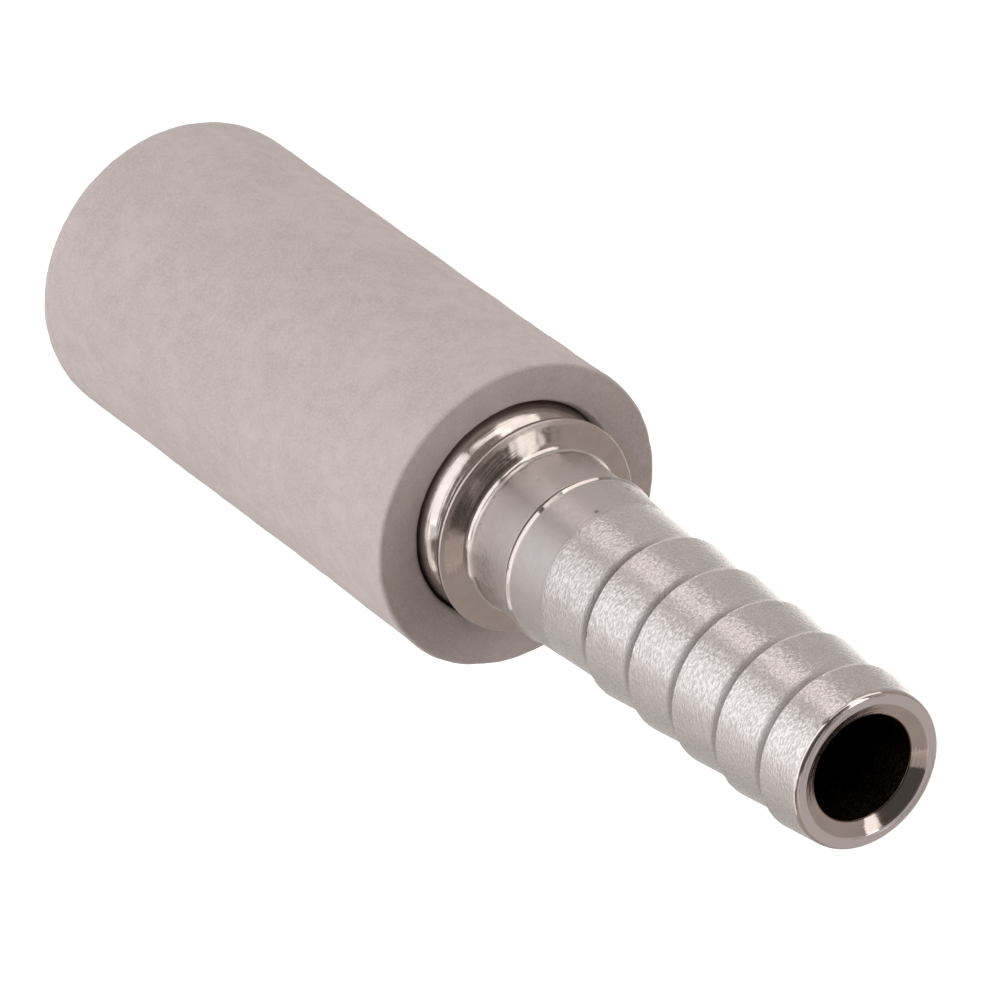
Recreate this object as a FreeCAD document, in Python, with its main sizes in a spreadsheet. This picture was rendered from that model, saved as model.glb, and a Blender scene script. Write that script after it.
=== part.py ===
import FreeCAD, Part

import math
import os

import Sketcher

# A carbonation stone in two pieces: a porous sintered cup, closed at one end, and a turned
# hose fitting whose shank is pressed into the cup's mouth. The stone stands on its closed
# end: +Z runs along the axis to the tip of the barb, and the origin is the middle of the
# closed end's flat.

# Driving sizes, in millimetres, apart from tooth_count, which is a number.
SIZES = {
    # Sintered cup
    "stone_diameter": 12.7,       # half an inch
    "stone_length": 25.4,         # one inch, closed end to mouth
    "end_round": 1.6,             # rounding of the closed end's outer edge
    "floor_thickness": 2.4,       # solid end under the gas chamber
    "cavity_diameter": 9.1,       # bore of the cup, which grips the shank
    "cavity_round": 1.0,          # rounding at the foot of the bore
    "flare_length": 6.5,          # stretch below the mouth that swells
    "flare_growth": 0.08,         # how far the radius has grown at the mouth
    "mouth_dish": 0.25,           # how far the mouth's face falls towards the bore
    "mouth_round": 0.15,          # outer edge of the mouth
    "bore_edge_round": 0.2,       # inner edge of the mouth
    # Fitting below the mouth: the shank is as wide as the cavity, a press fit
    "grip_depth": 0.95,           # mouth plane to the top of the gripped length
    "shank_length": 6.0,          # gripped length
    "shank_chamfer": 0.5,         # lead-in at the foot of the shank
    # Shoulder of the fitting
    "mouth_gap": 0.06,            # open ring between the bead's foot and the bore, on the radius
    "bead_height": 0.44,          # top of the polished bead above the mouth plane
    "bead_round": 1.5,            # crown of the bead, between its wall and its upper slope
    "groove_depth": 0.58,         # groove above the bead, below the bead's surface
    "groove_width": 0.52,
    "rim_overhang": 0.01,         # how far the thin sharp rim stands out past the bead
    "rim_thickness": 0.2,
    "shoulder_rise": 0.4,         # how far the shoulder climbs from the rim to the neck
    "cove_round": 0.45,           # hollow between the shoulder and the neck
    # Neck and relief groove
    "neck_diameter": 6.8,
    "neck_length": 2.57,          # shoulder's top to the relief groove
    "relief_depth": 0.18,         # below the neck's surface
    "relief_width": 0.26,
    # Barb
    "tooth_diameter": 7.0,        # crest of each short tooth
    "tooth_depth": 0.25,          # crest to the narrow end of a tooth, on the radius
    "root_run": 0.64,             # length of the hollow that climbs to the next crest
    "collar_step": 0.04,          # how far the long tooth's wide end stands past a crest
    "long_tooth_length": 5.39,
    "tooth_pitch": 2.895,
    "tooth_count": 5,
    "last_tooth_length": 2.04,    # the tip cuts the last tooth short
    "tip_round": 0.2,             # outer edge of the tip
    # Gas way
    "gas_bore_diameter": 4.38,
    "lip_width": 0.47,            # tip's outer edge to the countersink
    "countersink_depth": 0.34,
}

doc = FreeCAD.newDocument("CarbonationStone")
sheet = doc.addObject("Spreadsheet::Sheet", "Sizes")
for row, (alias, value) in enumerate(SIZES.items(), start=1):
    sheet.set("A%d" % row, alias)
    sheet.set("B%d" % row, str(value))
    sheet.setAlias("B%d" % row, alias)
doc.recompute()


class Size:
    """A length that carries its value and its formula in the sheet's own names."""

    def __init__(self, value, formula):
        self.value = value
        self.formula = formula

    def __add__(self, other):
        return Size(self.value + other.value, "(%s + %s)" % (self.formula, other.formula))

    def __sub__(self, other):
        return Size(self.value - other.value, "(%s - %s)" % (self.formula, other.formula))

    def __mul__(self, factor):
        return Size(self.value * factor.value, "(%s * %s)" % (self.formula, factor.formula))

    def __truediv__(self, divisor):
        return Size(self.value / divisor.value, "(%s / %s)" % (self.formula, divisor.formula))

    def __neg__(self):
        return Size(-self.value, "(-%s)" % self.formula)

    def half(self):
        return Size(self.value / 2, "(%s / 2)" % self.formula)

    def limited_by(self, wall):
        """The rounding that is left where the wall beside it is too thin for all of it."""
        most = wall * WALL_SHARE
        return Size(min(self.value, most.value), "min(%s; %s)" % (self.formula, most.formula))


ZERO = Size(0.0, "0")
ONE = Size(1.0, "1")
OVERRUN = Size(1.0, "1")          # how far a cutter runs on past the metal
WALL_SHARE = Size(0.9, "0.9")     # most of a wall that a rounding may take
HALF_TURN_REACH = Size(2.4, "2.4")  # radius over reach of a rounding that turns half a right angle
LEAST_CUT = 1e-6                  # a cut that takes less than this, in mm3, took nothing
SAME_PLACE = 1e-5                 # two places closer than this, in mm, are one
size = {alias: Size(sheet.get(alias), "Sizes." + alias) for alias in SIZES}


def bind(target, path, length):
    """Tie a property to the sheet."""
    target.setExpression(path, length.formula)


def origin_item(body, role):
    """One of the body's own origin planes or axes, found by its role."""
    return next(item for item in body.Origin.OriginFeatures if item.Role == role)


def new_body(name):
    """A body whose label names its node, placed at the stone's origin."""
    body = doc.addObject("PartDesign::Body", name)
    body.Label = name
    body.Placement = FreeCAD.Placement()
    return body


def section_sketch(body, name, corners, hollows=()):
    """Half section on the body's XZ plane, closed through (radius, height) corners.

    Each corner is a pair of Sizes. hollows lists the edges that are arcs: the edge that
    leaves that corner sets off along the axis and climbs, as a hollow, to the next corner.
    """
    sketch = body.newObject("Sketcher::SketchObject", name)
    sketch.AttachmentSupport = [(origin_item(body, "XZ_Plane"), "")]
    sketch.MapMode = "FlatFace"
    count = len(corners)
    points = [FreeCAD.Vector(radius.value, height.value, 0) for radius, height in corners]
    first_end = []
    for index in range(count):
        start = points[index]
        end = points[(index + 1) % count]
        if index in hollows:
            sketch.addGeometry(hollow_arc(start, end), False)
        else:
            sketch.addGeometry(Part.LineSegment(start, end), False)
        # An arc runs anticlockwise, so a hollow's first point is the later corner.
        first_end.append(2 if index in hollows else 1)
    for index in range(count):
        after = (index + 1) % count
        join = Sketcher.Constraint("Coincident", index, 3 - first_end[index], after, first_end[after])
        sketch.addConstraint(join)
        if index in hollows:
            level = Sketcher.Constraint("Horizontal", index, 3, index, first_end[index])
            sketch.addConstraint(level)
    for index, (radius, height) in enumerate(corners):
        place_corner(sketch, index, first_end[index], "DistanceX", radius, -2)
        place_corner(sketch, index, first_end[index], "DistanceY", height, -1)
    doc.recompute()
    return sketch


def hollow_arc(start, end):
    """Arc between two corners, wider at the second, whose centre is level with the first."""
    rise = end.x - start.x
    run = end.y - start.y
    radius = (rise ** 2 + run ** 2) / (2 * rise)
    centre = start + FreeCAD.Vector(radius, 0, 0)
    turn_angle = math.atan2(run, radius - rise)
    circle = Part.Circle(centre, FreeCAD.Vector(0, 0, 1), radius)
    return Part.ArcOfCircle(circle, math.pi - turn_angle, math.pi)


def place_corner(sketch, index, end, kind, length, axis):
    """Hold one end of an edge at a distance from the sketch's origin, or on an axis."""
    if length is ZERO:
        sketch.addConstraint(Sketcher.Constraint("PointOnObject", index, end, axis))
        return
    number = sketch.addConstraint(Sketcher.Constraint(kind, -1, 1, index, end, length.value))
    bind(sketch, "Constraints[%d]" % number, length)


def turn(body, kind, name, sketch):
    """A full turn of a section about the body's own Z axis: a Revolution or a Groove."""
    feature = body.newObject("PartDesign::" + kind, name)
    feature.Profile = sketch
    feature.ReferenceAxis = (origin_item(body, "Z_Axis"), [""])
    feature.Angle = 360.0
    doc.recompute()
    return feature


def checked_cut(body, name, before):
    """Refuse a cut that took nothing away."""
    if body.Shape.Volume > before - LEAST_CUT:
        raise RuntimeError(name + " cuts nothing")


def ring_edges(body, radius, height):
    """Circular edges about the axis at one height, narrowest first, of one radius or any."""
    rings = []
    for number, edge in enumerate(body.Tip.Shape.Edges, start=1):
        curve = edge.Curve
        if not isinstance(curve, Part.Circle) or abs(curve.Center.z - height.value) > SAME_PLACE:
            continue
        if radius is None or abs(curve.Radius - radius.value) < SAME_PLACE:
            rings.append((curve.Radius, "Edge%d" % number))
    if not rings:
        raise RuntimeError("no ring at height %.3f" % height.value)
    return [name for _, name in sorted(rings)]


def dress_ring(body, kind, name, edges, length):
    """Fillet or chamfer ring edges of the body's last feature."""
    base = body.Tip
    feature = body.newObject("PartDesign::" + kind, name)
    feature.Base = (base, edges)
    bind(feature, "Radius" if kind == "Fillet" else "Size", length)
    doc.recompute()


def make_sintered_stone():
    """The porous cup: a straight wall that swells a little towards its open mouth."""
    body = new_body("sintered_stone")
    outer = size["stone_diameter"].half()
    top = size["stone_length"]
    swell_start = top - size["flare_length"]
    mouth_radius = outer + size["flare_growth"]
    bore = size["cavity_diameter"].half()
    bore_edge = top - size["mouth_dish"]
    outline = section_sketch(body, "stone_outline", [
        (ZERO, ZERO),
        (outer, ZERO),
        (outer, swell_start),
        (mouth_radius, top),
        (bore, bore_edge),
        (ZERO, bore_edge),
    ])
    turn(body, "Revolution", "pressed_blank", outline)

    before = body.Shape.Volume
    floor = size["floor_thickness"]
    above = top + OVERRUN
    chamber = section_sketch(body, "chamber_outline", [
        (ZERO, floor),
        (bore, floor),
        (bore, above),
        (ZERO, above),
    ])
    turn(body, "Groove", "gas_chamber", chamber)
    checked_cut(body, "gas_chamber", before)

    foot_edge = ring_edges(body, bore, floor)
    dress_ring(body, "Fillet", "chamber_foot", foot_edge, size["cavity_round"])
    end_edge = ring_edges(body, outer, ZERO)
    dress_ring(body, "Fillet", "closed_end_edge", end_edge, size["end_round"])
    mouth_edge = ring_edges(body, mouth_radius, top)
    dress_ring(body, "Fillet", "mouth_outer_edge", mouth_edge, size["mouth_round"])
    inner_edge = ring_edges(body, bore, bore_edge)
    dress_ring(body, "Fillet", "mouth_bore_edge", inner_edge, size["bore_edge_round"])
    return body


def tooth_groove(body, name, start, length, crest, root, next_crest):
    """Turn one tooth: a cone down from its crest, then a hollow up to the next crest."""
    clear = crest + OVERRUN
    end = start + length
    sketch = section_sketch(body, name + "_outline", [
        (crest, start),
        (root, end - size["root_run"]),
        (next_crest, end),
        (clear, end),
        (clear, start),
    ], hollows=(1,))
    before = body.Shape.Volume
    feature = turn(body, "Groove", name, sketch)
    checked_cut(body, name, before)
    return feature


def make_barb_fitting():
    """The fitting, turned from one bar. Its own origin is the middle of the mouth plane."""
    body = new_body("barb_fitting")
    shank = size["cavity_diameter"].half()
    bead = shank - size["mouth_gap"]
    groove = bead - size["groove_depth"]
    rim = bead + size["rim_overhang"]
    neck = size["neck_diameter"].half()
    relief = neck - size["relief_depth"]
    crest = size["tooth_diameter"].half()
    root = crest - size["tooth_depth"]
    collar = crest + size["collar_step"]

    shank_top = -size["grip_depth"]
    shank_foot = shank_top - size["shank_length"]
    bead_top = size["bead_height"]
    bead_corner = bead_top - size["groove_depth"]
    rim_foot = bead_top + size["groove_width"]
    rim_top = rim_foot + size["rim_thickness"]
    neck_foot = rim_top + size["shoulder_rise"]
    neck_top = neck_foot + size["neck_length"]
    collar_foot = neck_top + size["relief_width"]
    first_crest = collar_foot + size["long_tooth_length"]
    last_crest = first_crest + size["tooth_pitch"] * (size["tooth_count"] - ONE)
    tip = last_crest + size["last_tooth_length"]

    outline = section_sketch(body, "bar_outline", [
        (ZERO, shank_foot),
        (shank, shank_foot),
        (shank, shank_top),
        (bead, shank_top),
        (bead, bead_corner),
        (groove, bead_top),
        (groove, rim_foot),
        (rim, rim_foot),
        (rim, rim_top),
        (neck, neck_foot),
        (neck, neck_top),
        (relief, neck_top),
        (relief, collar_foot),
        (collar, collar_foot),
        (collar, first_crest),
        (crest, first_crest),
        (crest, tip),
        (ZERO, tip),
    ])
    turn(body, "Revolution", "turned_bar", outline)

    long_length = size["long_tooth_length"]
    tooth_groove(body, "long_tooth", collar_foot, long_length, collar, root, crest)
    pitch = size["tooth_pitch"]
    short_tooth = tooth_groove(body, "short_tooth", first_crest, pitch, crest, root, crest)
    teeth = body.newObject("PartDesign::LinearPattern", "short_teeth")
    teeth.Originals = [short_tooth]
    teeth.Direction = (origin_item(body, "Z_Axis"), [""])
    bind(teeth, "Length", last_crest - first_crest)
    bind(teeth, "Occurrences", size["tooth_count"])
    before = body.Shape.Volume
    body.Tip = teeth
    doc.recompute()
    checked_cut(body, "short_teeth", before)

    before = body.Shape.Volume
    bore = size["gas_bore_diameter"].half()
    cone_length = pitch - size["root_run"]
    tip_edge = crest - size["tooth_depth"] * (size["last_tooth_length"] / cone_length)
    sink = tip_edge - size["lip_width"]
    gas_way = section_sketch(body, "gas_way_outline", [
        (ZERO, shank_foot - OVERRUN),
        (bore, shank_foot - OVERRUN),
        (bore, tip - size["countersink_depth"]),
        (sink, tip),
        (sink, tip + OVERRUN),
        (ZERO, tip + OVERRUN),
    ])
    turn(body, "Groove", "gas_way", gas_way)
    checked_cut(body, "gas_way", before)

    lead_in_edge = ring_edges(body, shank, shank_foot)
    dress_ring(body, "Chamfer", "shank_lead_in", lead_in_edge, size["shank_chamfer"])
    bead_edge = ring_edges(body, bead, bead_corner)
    bead_round = size["bead_round"].limited_by((bead_corner - shank_top) * HALF_TURN_REACH)
    dress_ring(body, "Fillet", "bead_crown", bead_edge, bead_round)
    cove_edge = ring_edges(body, neck, neck_foot)
    dress_ring(body, "Fillet", "shoulder_cove", cove_edge, size["cove_round"])
    outer_tip_edge = ring_edges(body, None, tip)[-1:]
    tip_round = size["tip_round"].limited_by(size["lip_width"])
    dress_ring(body, "Fillet", "tip_edge", outer_tip_edge, tip_round)

    bind(body, "Placement.Base.z", size["stone_length"])
    return body


bodies = [make_sintered_stone(), make_barb_fitting()]
doc.recompute()

# Nothing is written unless every object is sound.
for item in doc.Objects:
    if "Invalid" in item.State or "Error" in item.State:
        raise RuntimeError("%s is %s" % (item.Name, item.State))
for body in bodies:
    if body.Shape.isNull() or not body.Shape.isValid():
        raise RuntimeError(body.Label + " has no sound shape")
    if len(body.Shape.Solids) != 1:
        raise RuntimeError(body.Label + " is not one solid")

os.makedirs("parts", exist_ok=True)
for body in bodies:
    body.Shape.exportStep("parts/%s.step" % body.Label)
    box = body.Shape.BoundBox
    print("%s: %.1f mm3, z %.3f to %.3f" % (body.Label, body.Shape.Volume, box.ZMin, box.ZMax))
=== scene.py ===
# %% [markdown]
# # A carbonation stone with its hose barb
# The real object is a small porous cup of sintered stainless steel with a turned hose-barb
# fitting pressed into its mouth. Gas comes in through the barb and leaves through the pores.
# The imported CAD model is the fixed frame. This script dresses its two pieces with finer
# surfaces and finishes, and sets up the table, the lamps and the camera.

import bpy
import numpy as np
from mathutils import Matrix, Quaternion, Vector


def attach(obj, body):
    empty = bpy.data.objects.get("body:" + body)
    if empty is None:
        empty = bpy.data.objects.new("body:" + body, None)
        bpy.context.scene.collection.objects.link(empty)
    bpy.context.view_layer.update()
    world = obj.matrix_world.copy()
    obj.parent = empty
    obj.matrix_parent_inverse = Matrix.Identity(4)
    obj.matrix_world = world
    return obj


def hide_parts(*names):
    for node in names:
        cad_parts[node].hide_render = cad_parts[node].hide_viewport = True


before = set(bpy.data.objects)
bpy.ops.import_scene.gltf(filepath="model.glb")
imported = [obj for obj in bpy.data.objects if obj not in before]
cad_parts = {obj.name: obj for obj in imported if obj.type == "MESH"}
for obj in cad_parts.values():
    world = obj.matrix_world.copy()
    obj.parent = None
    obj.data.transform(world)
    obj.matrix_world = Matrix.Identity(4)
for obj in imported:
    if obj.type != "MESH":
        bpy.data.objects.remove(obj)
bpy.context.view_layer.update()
MM = 0.001

# %% [markdown]
# ## Profiles
# Both pieces were made round: the cup in a round press tool, the fitting on a lathe. So each is
# one profile in the plane of radius and height, turned about the Z axis. A profile is a list of
# corners, each with the radius of its rounding. No real edge is perfectly sharp, so even the
# crisp ones get a few hundredths of a millimetre, which is what catches the light.


# %% A rounded profile
def rounded_corner(before, corner, after, radius, steps):
    """Points of the arc that touches both edges at a corner.

    The arc starts and ends at radius * tan(half the turn) from the corner. Its points are
    centre + radius * (unit vector from the centre, swept from one touching point to the other).
    """
    back = (before - corner) / np.linalg.norm(before - corner)
    ahead = (after - corner) / np.linalg.norm(after - corner)
    half_open = np.arccos(np.clip(back @ ahead, -1.0, 1.0)) / 2
    middle = (back + ahead) / np.linalg.norm(back + ahead)
    centre = corner + middle * radius / np.sin(half_open)
    first = corner + back * radius / np.tan(half_open) - centre
    last = corner + ahead * radius / np.tan(half_open) - centre
    turn = np.arccos(np.clip(first @ last / radius**2, -1.0, 1.0))
    share = np.linspace(0.0, 1.0, steps)[:, None]
    sweep = (np.sin((1 - share) * turn) * first + np.sin(share * turn) * last) / np.sin(turn)
    return centre + sweep


def straight(start, end, spacing):
    """Points between two ends, evenly spaced in the middle and closer at both ends.

    The share of the way is an even step u bent by u - 0.1 * sin(2 pi u), which shortens the
    first and last steps, so that smooth shading keeps the flat flat up to its edges.
    """
    count = max(2, int(np.ceil(np.linalg.norm(end - start) / spacing)))
    even = np.arange(1, count) / count
    share = even - 0.1 * np.sin(2 * np.pi * even)
    return start + share[:, None] * (end - start)


def rounded_profile(corners, closed):
    """One array of (radius, height) points, in mm, through rounded corners.

    Each corner is (radius, height, rounding, spacing of the run that follows it). A rounding
    of nought keeps the point as it is, and wide roundings get more points than narrow ones.
    """
    places = np.array([corner[:2] for corner in corners])
    count = len(corners)
    runs = []
    for index, (_, _, rounding, _) in enumerate(corners):
        end_of_open = not closed and index in (0, count - 1)
        if rounding == 0 or end_of_open:
            runs.append(places[index : index + 1])
            continue
        steps = 4 if rounding < 0.1 else 7 if rounding < 0.4 else 14
        before, after = places[index - 1], places[(index + 1) % count]
        runs.append(rounded_corner(before, places[index], after, rounding, steps))
    joined = []
    for index, run in enumerate(runs):
        joined.append(run)
        if closed or index < count - 1:
            following = runs[(index + 1) % count]
            joined.append(straight(run[-1], following[0], corners[index][3]))
    return np.concatenate(joined)


# %% [markdown]
# ## Turning a profile into a mesh
# The surface is a grid: one row for each profile point, one column for each step round the axis.
# The points come from one formula for the whole grid. A cup starts and ends on the axis, so its
# grid is closed with a fan of triangles at each pole. A fitting with a bore through it closes on
# itself like a ring.


# %% The grid, its relief and its mesh
def turned_grid(profile, around):
    """Grid of points: radius * cos(angle), radius * sin(angle), height."""
    angle = np.arange(around) * 2 * np.pi / around
    radius, height = profile[:, 0:1], profile[:, 1:2]
    flat = np.ones((1, around))
    return np.stack([radius * np.cos(angle), radius * np.sin(angle), height * flat], axis=-1)


def outward(profile, around, closed):
    """Unit normal at each grid point: the profile's direction turned clockwise by a right angle.

    The direction at a point is the step from the point before it to the point after it.
    """
    if closed:
        step = np.roll(profile, -1, axis=0) - np.roll(profile, 1, axis=0)
    else:
        step = np.gradient(profile, axis=0)
    step /= np.linalg.norm(step, axis=1, keepdims=True)
    angle = np.arange(around) * 2 * np.pi / around
    out, up = step[:, 1:2], -step[:, 0:1]
    flat = np.ones((1, around))
    return np.stack([out * np.cos(angle), out * np.sin(angle), up * flat], axis=-1)


def quads_of_grid(rows, around, closed):
    """Corner numbers of every square: this point, the next round, both one row on, and back."""
    last = rows if closed else rows - 1
    row = np.arange(last)[:, None]
    column = np.arange(around)[None, :]
    after, beside = (row + 1) % rows, (column + 1) % around
    corners = [row * around + column, row * around + beside]
    corners += [after * around + beside, after * around + column]
    return np.stack(corners, axis=-1).reshape(-1, 4)


def mesh_piece(name, points, quads, fans):
    """A new object at the origin from points in mm, squares and triangles."""
    sides = np.concatenate([quads.ravel(), fans.ravel()]).astype(np.int32)
    starts = np.concatenate([
        np.arange(len(quads)) * 4,
        len(quads) * 4 + np.arange(len(fans)) * 3,
    ]).astype(np.int32)
    mesh = bpy.data.meshes.new(name)
    mesh.vertices.add(len(points))
    mesh.vertices.foreach_set("co", (points * MM).astype(np.float32).ravel())
    mesh.loops.add(len(sides))
    mesh.loops.foreach_set("vertex_index", sides)
    mesh.polygons.add(len(starts))
    mesh.polygons.foreach_set("loop_start", starts)
    mesh.polygons.foreach_set("use_smooth", np.ones(len(starts), bool))
    mesh.update(calc_edges=True)
    mesh.validate()
    piece = bpy.data.objects.new(name, mesh)
    bpy.context.scene.collection.objects.link(piece)
    triangles = 2 * len(quads) + len(fans)
    print(name, "has", len(points), "points and", triangles, "triangles")
    return piece


NO_FANS = np.zeros((0, 3), int)


# %% [markdown]
# ## Unevenness
# Nothing real is a perfect turned surface. A pressed and sintered wall undulates by about a
# hundredth of a millimetre, with small pits where grains have broken out. Adding up waves that
# run in random directions gives such a field at any point in space, with no seam anywhere.
# Dents are smooth bowls at chosen places. All of it only takes material away, so the piece
# stays inside the CAD model's box.


# %% Random waves and bowls
def wave_field(points, shortest, longest, count, seed):
    """Sum of count cosines of (wave vector . point + phase), scaled to a spread of about one.

    Directions are random, and wavelengths are spread evenly in ratio between the two limits.
    """
    dice = np.random.default_rng(seed)
    direction = dice.normal(size=(count, 3))
    direction /= np.linalg.norm(direction, axis=1, keepdims=True)
    length = shortest * (longest / shortest) ** dice.random(count)
    phase = dice.random(count) * 2 * np.pi
    vectors = direction * (2 * np.pi / length)[:, None]
    field = np.zeros(points.shape[:-1])
    for vector, shift in zip(vectors, phase):
        field += np.cos(points @ vector + shift)
    return field / np.sqrt(count / 2)


def bowls(points, centres, widths, depths):
    """Sum of depth * exp(-(distance / width) squared) over all bowls."""
    hollow = np.zeros(points.shape[:-1])
    for centre, width, depth in zip(centres, widths, depths):
        hollow += depth * np.exp(-np.sum((points - centre) ** 2, axis=-1) / width**2)
    return hollow


# %% [markdown]
# ## The porous cup
# Stainless powder is pressed round a core and sintered until the grains join. The wall is plain
# and matt, its closed end has a generous rounding from the press tool, and the open end's face
# falls a little towards the bore, whose edge is soft.

# %% Cup profile
STONE_RADIUS = 6.35
STONE_LENGTH = 25.4
BORE_RADIUS = 4.55
CHAMBER_FLOOR = 2.4
MOUTH_RADIUS = STONE_RADIUS + 0.08
SWELL_START = STONE_LENGTH - 6.5
BORE_EDGE = STONE_LENGTH - 0.25
GRIP_TOP = STONE_LENGTH - 1.4

stone_corners = [
    (0.0, 0.0, 0.0, 0.3),
    (STONE_RADIUS, 0.0, 1.6, 0.14),
    (STONE_RADIUS, SWELL_START, 0.0, 0.14),
    (MOUTH_RADIUS, STONE_LENGTH, 0.15, 0.1),
    (BORE_RADIUS, BORE_EDGE, 0.2, 0.25),
    (BORE_RADIUS, GRIP_TOP, 0.0, 1.5),
    (BORE_RADIUS, CHAMBER_FLOOR, 1.0, 0.8),
    (0.0, CHAMBER_FLOOR, 0.0, 0.8),
]
stone_profile = rounded_profile(stone_corners, closed=False)
print("cup profile points:", len(stone_profile))

# %% [markdown]
# The cup's wall undulates and is grainy, and has shallow pits where grains broke out. The fitting
# was pressed in a tenth of a millimetre off the middle, and pushed the bore's soft edge aside with
# it, so the edge moves too, by an amount that fades away from the bore.

# %% Cup surface
STONE_AROUND = 320
PIT_COUNT = 150
EDGE_SHIFT = 0.15
stone_ring = stone_profile[1:-1]
stone_points = turned_grid(stone_ring, STONE_AROUND)
stone_normal = outward(stone_profile, STONE_AROUND, closed=False)[1:-1]

undulation = wave_field(stone_points, 1.2, 5.0, 60, seed=11)
grain = wave_field(stone_points, 0.35, 0.9, 90, seed=12)
fade = np.clip((stone_ring[:, 0:1] - 0.4) / 2.0, 0.0, 1.0)
relief = (0.006 * (undulation - 2.5) + 0.0035 * (grain - 2.5)) * fade

dice = np.random.default_rng(13)
pit_angle = dice.random(PIT_COUNT) * 2 * np.pi
pit_height = dice.random(PIT_COUNT) * STONE_LENGTH
pits = np.stack([
    STONE_RADIUS * np.cos(pit_angle), STONE_RADIUS * np.sin(pit_angle), pit_height,
], axis=-1)
pit_width = 0.10 + 0.12 * dice.random(PIT_COUNT)
pit_depth = 0.01 + 0.03 * dice.random(PIT_COUNT)
relief -= bowls(stone_points, pits, pit_width, pit_depth)
stone_points = stone_points + np.minimum(relief, 0.0)[..., None] * stone_normal
near_edge = np.exp(-((stone_ring[:, 0] - BORE_RADIUS) / 0.35) ** 2)
near_edge *= np.clip((stone_ring[:, 1] - BORE_EDGE + 0.5) / 0.4, 0.0, 1.0)
stone_points[..., 0] -= EDGE_SHIFT * near_edge[:, None]
print("cup relief in mm: %.3f to %.3f" % (relief.min(), relief.max()))

# %% [markdown]
# The grid's first row and last row close on the axis, each with a fan of triangles: the flat that
# the stone stands on, and the floor of the gas chamber.

# %% Cup object
rows = len(stone_ring)
column = np.arange(STONE_AROUND)
beside = (column + 1) % STONE_AROUND
foot, deep = rows * STONE_AROUND, rows * STONE_AROUND + 1
fan_foot = np.stack([np.full(STONE_AROUND, foot), beside, column], axis=-1)
last_row = (rows - 1) * STONE_AROUND
fan_deep = np.stack([np.full(STONE_AROUND, deep), last_row + column, last_row + beside], axis=-1)
all_points = np.concatenate([
    stone_points.reshape(-1, 3), [[0.0, 0.0, 0.0], [0.0, 0.0, CHAMBER_FLOOR]],
])
stone = mesh_piece(
    "porous_cup", all_points, quads_of_grid(rows, STONE_AROUND, closed=False),
    np.concatenate([fan_foot, fan_deep]),
)
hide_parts("sintered_stone")
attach(stone, "root")

# %% [markdown]
# ## The turned fitting
# One bar of stainless steel is turned on a lathe. Seen from the cup: a polished bead, a groove, a
# thin sharp rim, a conical shoulder that ends in a small hollow at the plain neck, a narrow relief
# groove, a long tooth and five short ones, and a tip with a countersunk bore. Each tooth is a cone
# that runs down from its crest and a hollow that rises to the next crest. Where the relief groove
# was cut, the tool threw up a thin lip on the long tooth's wide end. Heights here are above the
# cup's mouth.

# %% Fitting profile
MOUTH = STONE_LENGTH
SHANK_FOOT = -6.95
GRIPPED = -0.95
BEAD = BORE_RADIUS - 0.06
BEAD_TOP = 0.44
GROOVE = BEAD - 0.58
RIM = 4.50
RIM_FOOT = 0.96
RIM_TOP = 1.16
NECK = 3.4
NECK_FOOT = 1.56
RELIEF = NECK - 0.18
RELIEF_FOOT = 4.13
RELIEF_TOP = 4.39
CREST = 3.50
TOOTH_DEPTH = 0.25
ROOT = CREST - TOOTH_DEPTH
COLLAR = CREST + 0.04
LIP = 0.05
TOOTH_COUNT = 5
TOOTH_PITCH = 2.895
ROOT_RUN = 0.64
FIRST_CREST = 9.78
GAS_BORE = 2.19
TIP = 23.40
LAST_TOOTH = 2.04
TIP_EDGE = CREST - TOOTH_DEPTH * LAST_TOOTH / (TOOTH_PITCH - ROOT_RUN)
COUNTERSINK = 0.34
CRISP = 0.03


def hollow_to_crest(foot):
    """Points of an arc that leaves the cone's foot along the axis and climbs to the crest.

    With rise and run between them, its radius is (rise squared + run squared) / (2 rise), and
    its centre is level with the foot.
    """
    rise = CREST - ROOT
    radius = (rise**2 + ROOT_RUN**2) / (2 * rise)
    sweep = np.linspace(0.0, np.arcsin(ROOT_RUN / radius), 9)[1:-1]
    return [(ROOT + radius * (1 - np.cos(a)), foot + radius * np.sin(a)) for a in sweep]


fitting_corners = [
    (GAS_BORE, SHANK_FOOT, CRISP, 0.4),
    (BORE_RADIUS - 0.5, SHANK_FOOT, CRISP, 0.4),
    (BORE_RADIUS, SHANK_FOOT + 0.5, CRISP, 0.8),
    (BORE_RADIUS, GRIPPED, 0.015, 0.1),
    (BEAD, GRIPPED, 0.015, 0.2),
    (BEAD, -0.14, 1.5, 0.1),
    (GROOVE, BEAD_TOP, CRISP, 0.1),
    (GROOVE, RIM_FOOT, CRISP, 0.1),
    (RIM, RIM_FOOT, CRISP, 0.08),
    (RIM, RIM_TOP, 0.10, 0.08),
    (NECK, NECK_FOOT, 0.45, 0.15),
    (NECK, RELIEF_FOOT, CRISP, 0.08),
    (RELIEF, RELIEF_FOOT, CRISP, 0.1),
    (RELIEF, RELIEF_TOP, CRISP, 0.08),
    (COLLAR + LIP, RELIEF_TOP, 0.02, 0.04),
    (COLLAR - LIP, RELIEF_TOP + 0.16, 0.04, 0.15),
]
for crest_height in FIRST_CREST + TOOTH_PITCH * np.arange(TOOTH_COUNT):
    root_height = crest_height - ROOT_RUN
    fitting_corners.append((ROOT, root_height, 0.0, 1.0))
    for radius, height in hollow_to_crest(root_height):
        fitting_corners.append((radius, height, 0.0, 1.0))
    fitting_corners.append((CREST, crest_height, 0.035, 0.14))
fitting_corners += [
    (TIP_EDGE, TIP, 0.2, 0.08),
    (TIP_EDGE - 0.47, TIP, CRISP, 0.08),
    (GAS_BORE, TIP - COUNTERSINK, 0.05, 2.0),
]
fitting_profile = rounded_profile(fitting_corners, closed=True)
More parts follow.
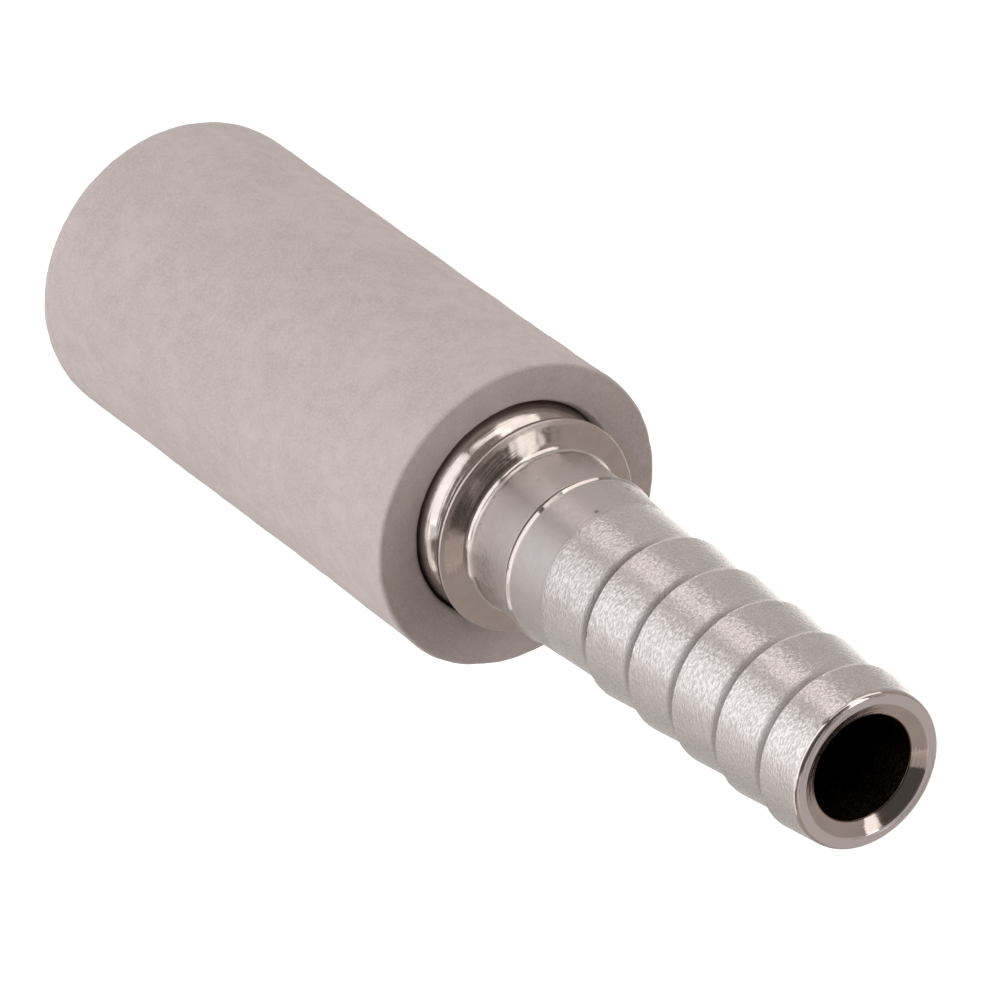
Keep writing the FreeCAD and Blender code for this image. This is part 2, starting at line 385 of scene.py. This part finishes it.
fitting_profile[:, 1] += MOUTH
print("fitting profile points:", len(fitting_profile))

# %% [markdown]
# Lathe work is true to a few thousandths, so the faces only tremble. Tumbling and hoses have
# nicked the sharp crests. The fitting was pressed in a tenth of a millimetre off the middle and
# stands true again a few millimetres up, which makes the dark ring in the mouth wider on one side.

# %% Fitting surface
FITTING_AROUND = 256
NICK_COUNT = 60
OFF_CENTRE = 0.1
fitting_points = turned_grid(fitting_profile, FITTING_AROUND)
fitting_normal = outward(fitting_profile, FITTING_AROUND, closed=True)
tremble = wave_field(fitting_points, 0.3, 2.5, 60, seed=21)
tremble = np.minimum(0.0015 * (tremble - 2.5), 0.0)
fitting_points = fitting_points + tremble[..., None] * fitting_normal
dice = np.random.default_rng(22)
nick_angle = dice.random(NICK_COUNT) * 2 * np.pi
nicked_tooth = dice.integers(0, TOOTH_COUNT, NICK_COUNT)
nick_height = MOUTH + FIRST_CREST + TOOTH_PITCH * nicked_tooth + 0.03
nicks = np.stack([CREST * np.cos(nick_angle), CREST * np.sin(nick_angle), nick_height], axis=-1)
nick_width = 0.05 + 0.07 * dice.random(NICK_COUNT)
nick_depth = 0.01 + 0.03 * dice.random(NICK_COUNT)
worn = bowls(fitting_points, nicks, nick_width, nick_depth)
fitting_points = fitting_points - worn[..., None] * fitting_normal
print("fitting tremble in mm: %.4f, deepest nick: %.3f" % (tremble.min(), worn.max()))
above = np.clip(fitting_points[..., 2] - MOUTH, 0.0, None)
fitting_points[..., 0] -= OFF_CENTRE * np.exp(-(above / 5.0) ** 2)
fitting = mesh_piece(
    "turned_fitting", fitting_points.reshape(-1, 3),
    quads_of_grid(len(fitting_profile), FITTING_AROUND, closed=True), NO_FANS,
)
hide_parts("barb_fitting")
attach(fitting, "root")


# %% [markdown]
# ## Finishes
# A finish is a small network of nodes that reads the piece's own coordinates, so it stays with
# the piece from any side. Most of it is noise, turned into shares by ramps, and colours and
# roughness blended by those shares.


# %% Helpers for node networks
class Finish:
    """A material whose nodes are added and joined by name."""

    def __init__(self, name):
        self.material = bpy.data.materials.new(name)
        self.material.use_nodes = True
        self.tree = self.material.node_tree
        self.surface = self.tree.nodes["Principled BSDF"]
        self.place = self.add("ShaderNodeTexCoord").outputs["Object"]

    def add(self, kind, settings=(), **inputs):
        """Add a node, set its own settings and its inputs (a value or another node's output)."""
        node = self.tree.nodes.new(kind)
        for name, value in dict(settings).items():
            setattr(node, name, value)
        for name, value in inputs.items():
            self.feed(node.inputs[name.replace("_", " ")], value)
        return node

    def feed(self, socket, value):
        """Link another node's output to a socket, or set the socket to a plain value."""
        if isinstance(value, bpy.types.NodeSocket):
            self.tree.links.new(value, socket)
        else:
            socket.default_value = value

    def math(self, operation, first, second=0.0, third=0.0):
        """One sum or function. MULTIPLY_ADD is first * second + third."""
        node = self.add("ShaderNodeMath", {"operation": operation})
        for socket, value in zip(node.inputs, (first, second, third)):
            self.feed(socket, value)
        return node.outputs[0]

    def noise(self, scale, detail=2.0, vector=None):
        """Noise in cycles per metre. Its value is about 0.5, seldom below 0.3 or above 0.7."""
        node = self.add("ShaderNodeTexNoise", Scale=scale, Detail=detail, Roughness=0.5)
        self.feed(node.inputs["Vector"], vector or self.place)
        return node.outputs["Fac"]

    def ramp(self, value, low, high, new_low=0.0, new_high=1.0):
        """From new_low at low to new_high at high, along 3 u squared - 2 u cubed, flat beyond."""
        node = self.add("ShaderNodeMapRange", {"interpolation_type": "SMOOTHSTEP"})
        for socket, number in zip(node.inputs, (value, low, high, new_low, new_high)):
            self.feed(socket, number)
        return node.outputs[0]

    def blend(self, share, first, second):
        """Colour first * (1 - share) + second * share."""
        node = self.add("ShaderNodeMix", {"data_type": "RGBA"})
        for index, value in ((0, share), (6, first), (7, second)):
            self.feed(node.inputs[index], value)
        return node.outputs[2]

    def bump(self, height, distance, under=None):
        """Tilt the normal by the slope of height * distance, on top of the marks under it."""
        node = self.add("ShaderNodeBump", Distance=distance, Height=height)
        if under is not None:
            self.feed(node.inputs["Normal"], under)
        return node.outputs["Normal"]


# %% [markdown]
# The cup's grains are about a tenth of a millimetre and its open pores smaller still. From a
# little way off that reads as a matt, warm grey with very fine speckle. There are broad soft
# patches where the pores are more or less open, some a little pinker, some a little greener.

# %% Sintered steel
sintered = Finish("sintered_steel_finish")
patches = sintered.noise(300.0, detail=3.0)
mottle = sintered.noise(1500.0, detail=3.0)
speckle = sintered.noise(11000.0, detail=1.0)
hue = sintered.noise(750.0, detail=2.0)
open_pores = sintered.ramp(patches, 0.35, 0.65)
greener = sintered.ramp(hue, 0.5, 0.7, 0.0, 0.55)
pinker = sintered.ramp(hue, 0.5, 0.3, 0.0, 0.55)
darker = sintered.ramp(mottle, 0.25, 0.75, 0.0, 0.6)
grains = sintered.ramp(speckle, 0.3, 0.75, 0.0, 0.45)
base = sintered.blend(open_pores, (0.405, 0.358, 0.346, 1), (0.468, 0.396, 0.389, 1))
base = sintered.blend(greener, base, (0.432, 0.392, 0.362, 1))
base = sintered.blend(pinker, base, (0.452, 0.376, 0.386, 1))
base = sintered.blend(darker, base, (0.378, 0.330, 0.320, 1))
base = sintered.blend(grains, base, (0.545, 0.464, 0.455, 1))
sintered.feed(sintered.surface.inputs["Base Color"], base)
sintered.surface.inputs["Metallic"].default_value = 0.0
sintered.surface.inputs["Specular IOR Level"].default_value = 0.2
sintered.feed(sintered.surface.inputs["Roughness"], sintered.ramp(mottle, 0.3, 0.7, 0.7, 0.85))
fine = sintered.bump(speckle, 0.01 * MM)
sintered.feed(sintered.surface.inputs["Normal"], fine)
stone.data.materials.append(sintered.material)
print("sintered steel has", len(sintered.tree.nodes), "nodes")

# %% [markdown]
# Turning leaves fine rings on the steel. Across the rings light spreads widely, and along them
# hardly at all, so lamps show as long streaks down the barb. The bead, rim and shoulder are
# polished, and the neck and the start of the long tooth are satin. The rest of the barb was
# tumbled with small stones. That left it frosted, with short dashes round it, and its facets are
# lightened in colour as painted glints, most on its front where the streaks fall. The hollows
# under the crests are darkened in colour as painted shade, less on the left side, and the crests'
# edges get a painted highlight on the left side. A few brown stains have stayed. The tip's end
# was faced with the finest cut, its countersink shows rings, and the bore is coloured near-black
# as painted shade.

# %% Turned steel
turned = Finish("turned_steel_finish")


def times(*shares):
    """Product of several shares."""
    product = shares[0]
    for share in shares[1:]:
        product = turned.math("MULTIPLY", product, share)
    return product


def between(value, start, full, end, gone):
    """One from full to end, nought below start and above gone, with soft edges."""
    return times(turned.ramp(value, start, full), turned.ramp(value, gone, end))


def scaled_place(x, y, z):
    """The place on the piece with each coordinate multiplied by its own factor."""
    node = turned.add("ShaderNodeVectorMath", {"operation": "MULTIPLY"})
    turned.feed(node.inputs[0], turned.place)
    node.inputs[1].default_value = (x, y, z)
    return node.outputs[0]


def dark_spot(round_by, above, radius, depth):
    """Share of a stain: depth up to half its radius, nought from 1.3 times its radius on.

    Its middle is given by degrees round the axis from the front, and mm above the mouth.
    """
    turn = np.radians(round_by)
    reach = (CREST - 0.03) * MM
    middle = (reach * np.sin(turn), -reach * np.cos(turn), (MOUTH + above) * MM)
    gap = turned.add("ShaderNodeVectorMath", {"operation": "DISTANCE"})
    turned.feed(gap.inputs[0], turned.place)
    gap.inputs[1].default_value = middle
    return turned.ramp(gap.outputs["Value"], 1.3 * radius * MM, 0.5 * radius * MM, 0.0, depth)


parts = turned.add("ShaderNodeSeparateXYZ", Vector=turned.place)
x_place, y_place, z_place = parts.outputs
above_mouth = turned.math("MULTIPLY_ADD", z_place, 1 / MM, -MOUTH)
across = turned.math("SQRT", turned.math("ADD", times(x_place, x_place), times(y_place, y_place)))

rings = turned.add("ShaderNodeCombineXYZ", X=across, Z=z_place)
ring_place = turned.add("ShaderNodeVectorMath", {"operation": "ADD"})
turned.feed(ring_place.inputs[0], rings.outputs[0])
turned.feed(ring_place.inputs[1], scaled_place(0.06, 0.06, 0.0))
lines = turned.noise(9000.0, detail=2.0, vector=ring_place.outputs[0])
tumble = turned.noise(11000.0, detail=2.0, vector=scaled_place(0.5, 0.5, 1.0))
wear = turned.noise(1500.0, detail=3.0)

polished = turned.ramp(above_mouth, 2.0, 1.7)
worn_rim = between(above_mouth, RIM_TOP - 0.10, RIM_TOP - 0.04, RIM_TOP + 0.04, RIM_TOP + 0.10)
satin = between(above_mouth, 1.8, 2.1, 6.3, 6.8)
lip = between(above_mouth, RELIEF_TOP - 0.03, RELIEF_TOP, RELIEF_TOP + 0.15, RELIEF_TOP + 0.25)
outside = turned.ramp(across, 3.10 * MM, 3.18 * MM)
frosted = times(between(above_mouth, 6.4, 6.65, TIP - 0.3, TIP - 0.1), outside)
at_tip = turned.ramp(above_mouth, TIP - 0.44, TIP - 0.36)
faced = turned.ramp(above_mouth, TIP - 0.05, TIP - 0.01)
# Painted shade: inside the gas bore the steel is coloured near-black.
bore_painted_shade = turned.ramp(across, (GAS_BORE + 0.08) * MM, (GAS_BORE + 0.03) * MM)

in_teeth = turned.math("MULTIPLY_ADD", above_mouth, 1 / TOOTH_PITCH, 10.0 - FIRST_CREST / TOOTH_PITCH)
to_crest = turned.math("FRACT", in_teeth)
past_long_tooth = turned.ramp(above_mouth, 8.7, 9.0)
hollow_start = 1.0 - ROOT_RUN / TOOTH_PITCH
# Painted shade: the hollows under the crests are darkened in colour, less on the left side.
hollow_painted_shade = between(to_crest, hollow_start - 0.06, hollow_start + 0.05, 0.98, 0.997)
painted_shade_fades_left = turned.ramp(x_place, -2.3 * MM, -1.3 * MM, 0.25, 1.0)
hollow_painted_shade = times(hollow_painted_shade, past_long_tooth, painted_shade_fades_left)
at_crest = turned.math("MAXIMUM",
    turned.ramp(to_crest, 0.04, 0.005), turned.ramp(to_crest, 0.965, 0.99))
# Painted highlight: the crests' edges are lightened in colour on the left side.
painted_highlight_left = turned.ramp(x_place, -1.6 * MM, -2.1 * MM)
crest_painted_highlight = times(at_crest, painted_highlight_left, past_long_tooth, frosted)

# Painted glints: the tumbled facets are lightened in colour, strongest in two bands on the front
# where the streaks fall.
off_right = turned.math("ABSOLUTE", turned.math("SUBTRACT", x_place, 0.65 * MM))
off_left = turned.math("ABSOLUTE", turned.math("ADD", x_place, 1.35 * MM))
painted_glint_window = turned.math("MAXIMUM",
    turned.ramp(off_right, 0.85 * MM, 1.3 * MM, 0.5, 0.12),
    turned.ramp(off_left, 0.30 * MM, 0.75 * MM, 0.4, 0.12))
facets_and_painted_glints = times(turned.ramp(tumble, 0.38, 0.66), frosted, painted_glint_window)

steel = turned.blend(turned.ramp(wear, 0.3, 0.7), (0.50, 0.446, 0.423, 1), (0.54, 0.478, 0.456, 1))
# Painted glints, painted hollow shade and painted crest highlights are blended into the steel's
# colour below.
steel = turned.blend(facets_and_painted_glints, steel, (0.95, 0.88, 0.87, 1))
steel = turned.blend(times(satin, 0.8), steel, (0.49, 0.435, 0.415, 1))
steel = turned.blend(times(hollow_painted_shade, 0.8), steel, (0.30, 0.262, 0.245, 1))
steel = turned.blend(times(crest_painted_highlight, 0.6), steel, (0.98, 0.92, 0.90, 1))
stains = (
    (-33.6, 6.33, 0.12, 0.75), (-27.0, 2.95, 0.10, 0.25), (-47.0, 2.75, 0.09, 0.2),
    (-63.0, 15.0, 0.11, 0.5), (-66.0, 16.6, 0.10, 0.4), (-60.0, 18.4, 0.09, 0.35),
    (32.0, 2.2, 0.14, 0.2), (-72.0, 5.2, 0.12, 0.5),
)
for stain in stains:
    steel = turned.blend(dark_spot(*stain), steel, (0.16, 0.11, 0.08, 1))
steel = turned.blend(faced, steel, (0.72, 0.70, 0.725, 1))
steel = turned.blend(bore_painted_shade, steel, (0.10, 0.07, 0.055, 1))
turned.feed(turned.surface.inputs["Base Color"], steel)
turned.surface.inputs["Metallic"].default_value = 1.0
turned.feed(turned.surface.inputs["Anisotropic"], turned.ramp(polished, 0.0, 1.0, 0.8, 0.3))
turned.surface.inputs["Anisotropic Rotation"].default_value = 0.25
coarseness = turned.math("MULTIPLY_ADD", polished, -0.35, 1.0)
coarseness = turned.math("MULTIPLY_ADD", satin, 0.55, coarseness)
coarseness = turned.math("MULTIPLY_ADD", lip, -1.2, coarseness)
coarseness = turned.math("MULTIPLY_ADD", at_tip, -0.45, coarseness)
rough = times(turned.ramp(tumble, 0.3, 0.7, 0.18, 0.30), coarseness)
rough = turned.math("MULTIPLY_ADD", worn_rim, 0.2, rough)
turned.feed(turned.surface.inputs["Roughness"], rough)
tangent = turned.add("ShaderNodeTangent", {"direction_type": "RADIAL", "axis": "Z"})
turned.feed(turned.surface.inputs["Tangent"], tangent.outputs[0])
inside_depth = turned.ramp(outside, 1.0, 0.0, 0.0, 0.006 * MM)
ring_depth = turned.math("MULTIPLY_ADD", faced, 0.012 * MM, 0.006 * MM)
ring_depth = turned.math("ADD", ring_depth, inside_depth)
marks = turned.bump(lines, ring_depth)
marks = turned.bump(times(tumble, frosted), 0.04 * MM, under=marks)
turned.feed(turned.surface.inputs["Normal"], marks)
fitting.data.materials.append(turned.material)
print("turned steel has", len(turned.tree.nodes), "nodes")

# %% [markdown]
# ## Camera
# The photograph was taken with a long lens from well outside, so parallel edges stay nearly
# parallel. Its viewing angle is given by how far the axis leans towards the lens and which way
# it points in the picture.

# %% Camera
LEAN = np.radians(43.728)
HEADING = np.radians(36.228)
LENS_MM = 486.0
MOUTH_IN_VIEW = Vector((0.694, -0.594, -521.586)) * MM

axis = Vector((np.sin(LEAN) * np.cos(HEADING), -np.sin(LEAN) * np.sin(HEADING), np.cos(LEAN)))
to_lens = Vector((0.0, 0.0, 1.0))
away = -(to_lens - to_lens.dot(axis) * axis).normalized()
sideways = away.cross(axis)
turn_to_view = Matrix((sideways, away, axis))

camera = bpy.data.objects.new("photo_camera", bpy.data.cameras.new("photo_camera"))
bpy.context.scene.collection.objects.link(camera)
camera.data.lens = LENS_MM
camera.data.sensor_width = 36.0
camera.data.clip_start, camera.data.clip_end = 0.01, 20.0
where = Vector((0.0, 0.0, STONE_LENGTH * MM)) - turn_to_view @ MOUTH_IN_VIEW
camera.matrix_world = Matrix.Translation(where) @ turn_to_view.to_4x4()
bpy.context.scene.camera = camera
print("camera at", [round(x, 4) for x in where])

# %% [markdown]
# ## Table and light
# The table is a white sheet lit from below, as product photographers use: it stays white in the
# picture and throws an even light up the sides of the object. In the metal it shows unevenly, as
# if cards lay on it: a grey that falls off away from the object, and in four directions white
# cards, three of them brighter further out. Directions are in degrees from the front (-Y)
# towards +X.

# %% Table
TABLE_RADIUS = 3.0
TABLE_SIDES = 96
TABLE_GLOW = 0.96
edge = np.arange(TABLE_SIDES) * 2 * np.pi / TABLE_SIDES
table_points = np.stack([np.cos(edge), np.sin(edge), 0 * edge], axis=-1) * TABLE_RADIUS
table_mesh = bpy.data.meshes.new("white_table")
table_mesh.from_pydata(table_points.tolist(), [], [list(range(TABLE_SIDES))])
table = bpy.data.objects.new("white_table", table_mesh)
bpy.context.scene.collection.objects.link(table)
sheet = Finish("white_table_finish")
sheet.surface.inputs["Base Color"].default_value = (0.3, 0.3, 0.3, 1)
sheet.surface.inputs["Roughness"].default_value = 0.9
sheet.surface.inputs["Specular IOR Level"].default_value = 0.0
spot = sheet.add("ShaderNodeSeparateXYZ", Vector=sheet.place)
bearing = sheet.math("ARCTAN2", spot.outputs[0], sheet.math("MULTIPLY", spot.outputs[1], -1.0))


def sector(middle, half, soft):
    """One inside a sector of bearings, nought outside it, with soft edges. All in degrees."""
    off = sheet.math("ABSOLUTE", sheet.math("SUBTRACT", bearing, float(np.radians(middle))))
    return sheet.ramp(off, float(np.radians(half + soft)), float(np.radians(half - soft)))


reach = sheet.math("SQRT", sheet.math("ADD",
    sheet.math("MULTIPLY", spot.outputs[0], spot.outputs[0]),
    sheet.math("MULTIPLY", spot.outputs[1], spot.outputs[1])))


def from_near_to_far(near, far):
    """A brightness that changes from 20 mm to 130 mm away from the axis."""
    return sheet.ramp(reach, 0.02, 0.13, near, far)


cool_share = sector(28.0, 30.0, 22.0)
cards = from_near_to_far(0.58, 0.35)
cards = sheet.math("MULTIPLY_ADD", cool_share, from_near_to_far(0.30, 1.10), cards)
cards = sheet.math("MULTIPLY_ADD", sector(-38.0, 13.0, 5.0), from_near_to_far(0.22, 0.95), cards)
cards = sheet.math("MULTIPLY_ADD", sector(78.0, 22.0, 6.0), from_near_to_far(0.06, 0.35), cards)
cards = sheet.math("MULTIPLY_ADD", sector(-160.0, 24.0, 12.0), 0.9, cards)
mirror = sheet.add("ShaderNodeLightPath").outputs["Is Glossy Ray"]
cool_card = sheet.math("MULTIPLY", cool_share, mirror)
tint = sheet.blend(cool_card, (1.0, 1.0, 1.0, 1), (0.95, 1.0, 1.04, 1))
sheet.feed(sheet.surface.inputs["Emission Color"], tint)
glow = sheet.add("ShaderNodeMix", {"data_type": "FLOAT"})
for index, value in ((0, mirror), (2, TABLE_GLOW), (3, cards)):
    sheet.feed(glow.inputs[index], value)
sheet.feed(sheet.surface.inputs["Emission Strength"], glow.outputs[0])
sheet.material.cycles.emission_sampling = "NONE"
table_mesh.materials.append(sheet.material)
print("table is", 2 * TABLE_RADIUS, "m across")

# %% [markdown]
# The room round the table is dim and warm. It is lighter behind the object than in front of it,
# and dark overhead, which is what the shoulder mirrors as its dark band. The camera itself looks
# past all that at a plain white backdrop.

# %% Room
world = bpy.data.worlds.new("dim_room")
bpy.context.scene.world = world
world.use_nodes = True
room = world.node_tree
room_light = room.nodes["Background"]
room_light.inputs["Color"].default_value = (1.0, 0.88, 0.79, 1)
way = room.nodes.new("ShaderNodeTexCoord").outputs["Generated"]
split = room.nodes.new("ShaderNodeSeparateXYZ")
room.links.new(way, split.inputs[0])


def room_ramp(value, low, high, new_low, new_high):
    """From new_low at low to new_high at high, along 3 u squared - 2 u cubed, flat beyond."""
    node = room.nodes.new("ShaderNodeMapRange")
    node.interpolation_type = "SMOOTHSTEP"
    room.links.new(value, node.inputs[0])
    for socket, number in zip(list(node.inputs)[1:], (low, high, new_low, new_high)):
        socket.default_value = number
    return node.outputs[0]


walls = room_ramp(split.outputs[1], -0.2, 0.3, 0.16, 0.42)
ceiling = room_ramp(split.outputs[2], 0.77, 0.87, 1.0, 0.0)
level = room.nodes.new("ShaderNodeMath")
level.operation = "MULTIPLY_ADD"
room.links.new(walls, level.inputs[0])
room.links.new(ceiling, level.inputs[1])
level.inputs[2].default_value = 0.10
room.links.new(level.outputs[0], room_light.inputs["Strength"])
backdrop = room.nodes.new("ShaderNodeBackground")
backdrop.inputs["Color"].default_value = (1.0, 1.0, 1.0, 1)
ray = room.nodes.new("ShaderNodeLightPath")
choice = room.nodes.new("ShaderNodeMixShader")
room.links.new(ray.outputs["Is Camera Ray"], choice.inputs[0])
room.links.new(room_light.outputs[0], choice.inputs[1])
room.links.new(backdrop.outputs[0], choice.inputs[2])
room.links.new(choice.outputs[0], room.nodes["World Output"].inputs[0])
print("room has", len(room.nodes), "nodes")

# %% [markdown]
# Large soft lamps stand round the table. Four of them, the fills, light the matt cup and don't
# show in the steel. The strip, high on the left, does both, and makes the bright patch on the
# shoulder. The rest are cards that only the steel mirrors: a cool one in front on the right gives
# the broad streak down the barb, two warm ones on the left give the narrower streak, and one
# high on the right lightens the far side of the shoulder.


# %% Lamps
LAMP_DISTANCE = 0.6
LAMPS_AIM = Vector((0.0, 0.0, 0.03))


def softbox(name, azimuth, elevation, wide, high, brightness, colour, lean=0.0, shows_in="both"):
    """A rectangular lamp that faces the object, placed and sized by angles seen from it.

    Azimuth 0 is in front (-Y) and grows towards +X. A lamp of angular half-width a at distance
    d is 2 d tan(a) wide. Brightness is the radiance; its power is radiance * pi * area. Lean
    turns the lamp about the line of sight. A lamp can show in mirror-like surfaces only, or
    light matt ones only, as a studio's flags and cards would have it.
    """
    a, e = np.radians(azimuth), np.radians(elevation)
    way = Vector((np.sin(a) * np.cos(e), -np.cos(a) * np.cos(e), np.sin(e)))
    data = bpy.data.lights.new(name, "AREA")
    data.shape = "RECTANGLE"
    data.size = 2 * LAMP_DISTANCE * np.tan(np.radians(wide / 2))
    data.size_y = 2 * LAMP_DISTANCE * np.tan(np.radians(high / 2))
    data.energy = brightness * np.pi * data.size * data.size_y
    data.color = colour
    lamp = bpy.data.objects.new(name, data)
    lamp.location = way * LAMP_DISTANCE + LAMPS_AIM
    turn = way.to_track_quat("Z", "Y") @ Quaternion((0.0, 0.0, 1.0), np.radians(lean))
    lamp.rotation_euler = turn.to_euler()
    lamp.visible_camera = False
    lamp.visible_diffuse = shows_in != "mirrors"
    lamp.visible_glossy = shows_in != "matt"
    bpy.context.scene.collection.objects.link(lamp)


softbox("cool_fill", 24.0, 13.0, 70.0, 26.0, 2.9, (0.96, 1.0, 1.03), shows_in="matt")
softbox("high_fill", -30.0, 55.0, 40.0, 36.0, 0.8, (1.0, 0.97, 0.94), shows_in="matt")
softbox("left_fill", -110.0, 35.0, 40.0, 36.0, 1.85, (0.98, 1.0, 1.02), shows_in="matt")
softbox("side_fill", 82.0, 20.0, 50.0, 40.0, 0.7, (1.0, 0.98, 0.96), shows_in="matt")
softbox("cool_softbox", 21.0, 21.0, 68.0, 32.0, 1.65, (0.97, 1.0, 1.03), shows_in="mirrors")
softbox("warm_strip", -87.0, 57.0, 13.0, 72.0, 1.7, (1.0, 0.97, 0.93), lean=48.0)
softbox("warm_softbox", -71.0, 17.0, 40.0, 28.0, 1.6, (1.0, 0.98, 0.95), shows_in="mirrors")
softbox("warm_tail", -38.0, 22.0, 30.0, 13.0, 1.6, (1.0, 0.98, 0.95), shows_in="mirrors")
softbox("cool_edge", 62.0, 20.0, 16.0, 26.0, 0.9, (0.97, 1.0, 1.03), shows_in="mirrors")
softbox("high_card", 122.0, 62.0, 40.0, 15.0, 0.5, (1.0, 0.88, 0.79), shows_in="mirrors")
softbox("side_card", 78.0, 3.0, 44.0, 20.0, 1.0, (1.0, 0.98, 0.96), shows_in="mirrors")
print("lamps:", len(bpy.data.lights))

# %% [markdown]
# ## Picture
# The plain view transform keeps the table's white as it is.

# %% Picture
bpy.context.scene.view_settings.view_transform = "Standard"
